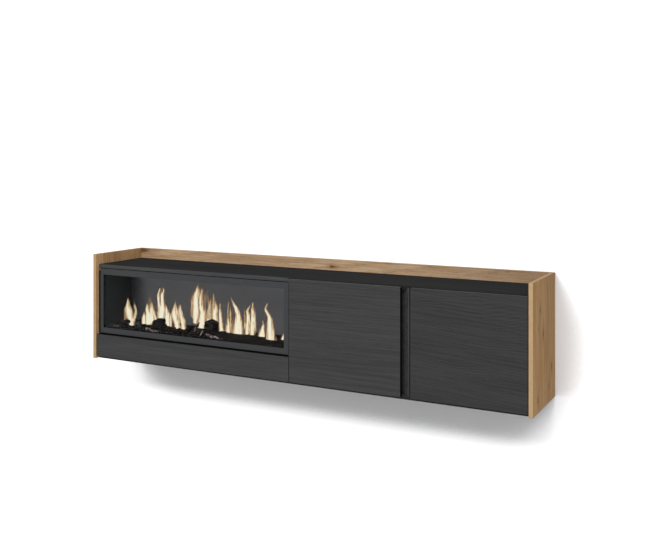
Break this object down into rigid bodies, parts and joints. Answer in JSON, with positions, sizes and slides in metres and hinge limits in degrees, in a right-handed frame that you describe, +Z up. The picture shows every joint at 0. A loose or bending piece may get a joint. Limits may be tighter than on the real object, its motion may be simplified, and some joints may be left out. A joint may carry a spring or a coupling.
{
  "type": "fireplace tv stand",
  "caption": "Low wall-hung media cabinet with oak side panels and rear rail, dark wood-grain top, doors and drawer, a finger channel and an electric fireplace behind glass.",
  "frame": {"origin": "middle of the rear rail's wall face, on the wall plane", "axes": "+X to the right along the wall seen from the room, +Y into the wall, +Z up; the fronts face -Y"},
  "size_m": [2, 0.33, 0.47],
  "materials": {
    "oak": "matt oak-grain laminate with open grain",
    "dark_wood": "dark grey wood-grain laminate, matt",
    "fibreboard": "thin fibreboard, raw",
    "drawer_wood": "grey laminate, matt",
    "black_steel": "black powder coat",
    "frame_steel": "dark grey powder coat, satin",
    "zinc": "zinc-plated steel",
    "glass": "clear tempered glass",
    "screen": "dark translucent screen",
    "ember": "moulded ember bed",
    "log": "charred moulded log",
    "foil": "bright foil blades",
    "black_plastic": "moulded black plastic",
    "white_plastic": "moulded white plastic",
    "flame": "projected flame light"
  },
  "bodies": {
    "cabinet": {"side_panel_left": "oak", "side_panel_right": "oak", "rear_rail": "oak", "top_board": "dark_wood", "bottom_board": "dark_wood", "partition_left": "dark_wood", "partition_right": "dark_wood", "insert_shelf": "dark_wood", "shelf_centre": "dark_wood", "shelf_right": "dark_wood", "grip_strip": "dark_wood", "grip_back_strip": "dark_wood", "grip_side_strip": "dark_wood", "back_panel_centre": "fibreboard", "back_panel_right": "fibreboard", "insert_wall_left": "black_steel", "insert_wall_right": "black_steel", "insert_floor": "black_steel", "insert_roof": "black_steel", "insert_back": "black_steel", "insert_frame": "frame_steel", "hinge_arm_centre_lower": "zinc", "hinge_arm_centre_upper": "zinc", "hinge_arm_right_lower": "zinc", "hinge_arm_right_upper": "zinc", "slide_outer_left": "zinc", "slide_outer_right": "zinc", "insert_glass": "glass", "flame_screen": "screen", "ember_bed": "ember", "log_left": "log", "log_right": "log", "rotor_motor": "black_plastic", "control_box": "black_plastic", "power_inlet": "black_plastic", "latch_housing_door": "black_plastic", "latch_housing_drawer": "black_plastic", "lamp_strip": "white_plastic"},
    "centre_door": {"door_centre": "dark_wood", "hinge_cup_centre_lower": "zinc", "hinge_cup_centre_upper": "zinc"},
    "centre_hinge_links": {"hinge_link_centre_lower": "zinc", "hinge_link_centre_upper": "zinc"},
    "right_door": {"door_right": "dark_wood", "hinge_cup_right_lower": "zinc", "hinge_cup_right_upper": "zinc"},
    "right_hinge_links": {"hinge_link_right_lower": "zinc", "hinge_link_right_upper": "zinc"},
    "drawer": {"drawer_front": "dark_wood", "drawer_side_left": "drawer_wood", "drawer_side_right": "drawer_wood", "drawer_back": "drawer_wood", "drawer_bottom": "fibreboard", "slide_inner_left": "zinc", "slide_inner_right": "zinc"},
    "door_latch_plunger": {"latch_plunger_door": "white_plastic"},
    "drawer_latch_plunger": {"latch_plunger_drawer": "white_plastic"},
    "rotor": {"flame_rotor": "foil"}
  },
  "joints": [
    {"name": "centre_door_hinge", "type": "hinge", "parent": "cabinet", "child": "centre_door", "pos_m": [0.023, -0.326, -0.1943], "axis": [0, 0, -1], "range_deg": [0, 90]},
    {"name": "centre_link_pin", "type": "hinge", "parent": "cabinet", "child": "centre_hinge_links", "pos_m": [0.028, -0.3075, -0.1943], "axis": [0, 0, -1], "range_deg": [0, 61.3]},
    {"name": "right_door_hinge", "type": "hinge", "parent": "cabinet", "child": "right_door", "pos_m": [0.98, -0.326, -0.1943], "axis": [0, 0, 1], "range_deg": [0, 95]},
    {"name": "right_link_pin", "type": "hinge", "parent": "cabinet", "child": "right_hinge_links", "pos_m": [0.975, -0.3075, -0.1943], "axis": [0, 0, 1], "range_deg": [0, 64.7]},
    {"name": "drawer_slide", "type": "slide", "parent": "cabinet", "child": "drawer", "axis": [0, -1, 0], "range_m": [0, 0.19]},
    {"name": "door_latch_push", "type": "slide", "parent": "cabinet", "child": "door_latch_plunger", "axis": [0, -1, 0], "range_m": [0, 0.02]},
    {"name": "drawer_latch_push", "type": "slide", "parent": "cabinet", "child": "drawer_latch_plunger", "axis": [0, -1, 0], "range_m": [0, 0.02]},
    {"name": "rotor_spin", "type": "hinge", "parent": "cabinet", "child": "rotor", "pos_m": [-0.48, -0.07775, -0.2492], "axis": [1, 0, 0], "continuous": true}
  ],
  "couplings": [
    {"joint": "centre_link_pin", "follows": "centre_door_hinge", "ratio": 0.68},
    {"joint": "right_link_pin", "follows": "right_door_hinge", "ratio": 0.68},
    {"joint": "door_latch_push", "follows": "right_door_hinge", "m_per_rad": 0.012},
    {"joint": "drawer_latch_push", "follows": "drawer_slide", "ratio": 0.1}
  ]
}
